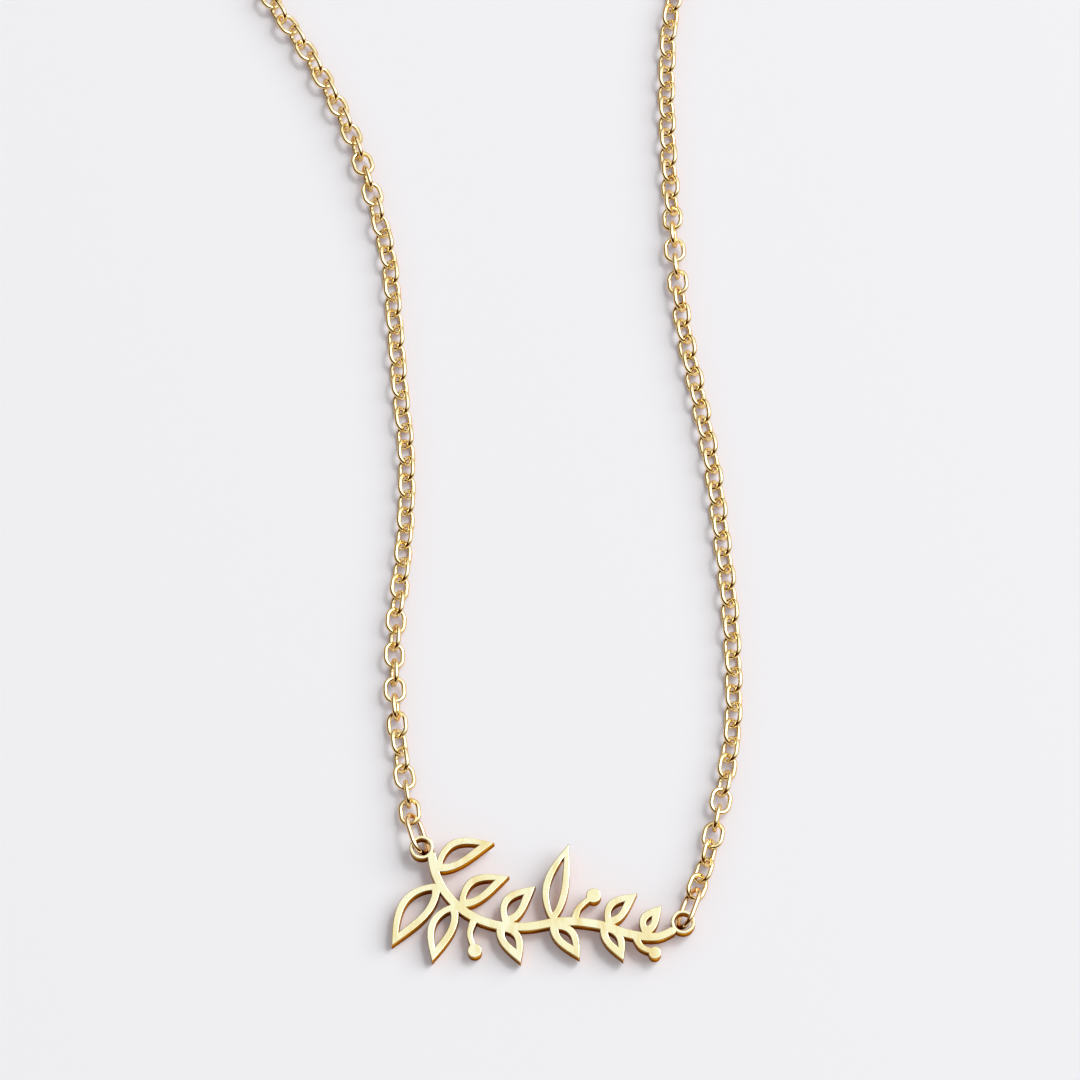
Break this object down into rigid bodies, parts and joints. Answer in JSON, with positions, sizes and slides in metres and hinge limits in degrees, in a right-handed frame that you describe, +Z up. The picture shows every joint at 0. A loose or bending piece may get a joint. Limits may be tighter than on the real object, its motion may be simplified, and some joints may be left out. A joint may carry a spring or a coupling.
{
  "type": "nameplate necklace",
  "caption": "Closed loop of fine oval chain links lying on a surface, with a flat pierced vine plate hung between two jump rings, and a plain round clasp.",
  "frame": {"origin": "on the surface that the necklace lies on, in the middle of its footprint", "axes": "+Z up from the surface, +Y from the plate towards the clasp, +X to the right as seen from above the plate"},
  "size_m": [0.0826, 0.1914, 0.0029],
  "materials": {
    "polished_gold": "mirror-polished pale gold plating",
    "gold_wire": "bright gold-plated round wire"
  },
  "bodies": {
    "root": {"vine_plate": "polished_gold", "ring_left": "gold_wire", "ring_right": "gold_wire", "chain_left": "gold_wire", "chain_right": "gold_wire", "clasp": "gold_wire", "end_ring": "gold_wire"}
  },
  "joints": []
}
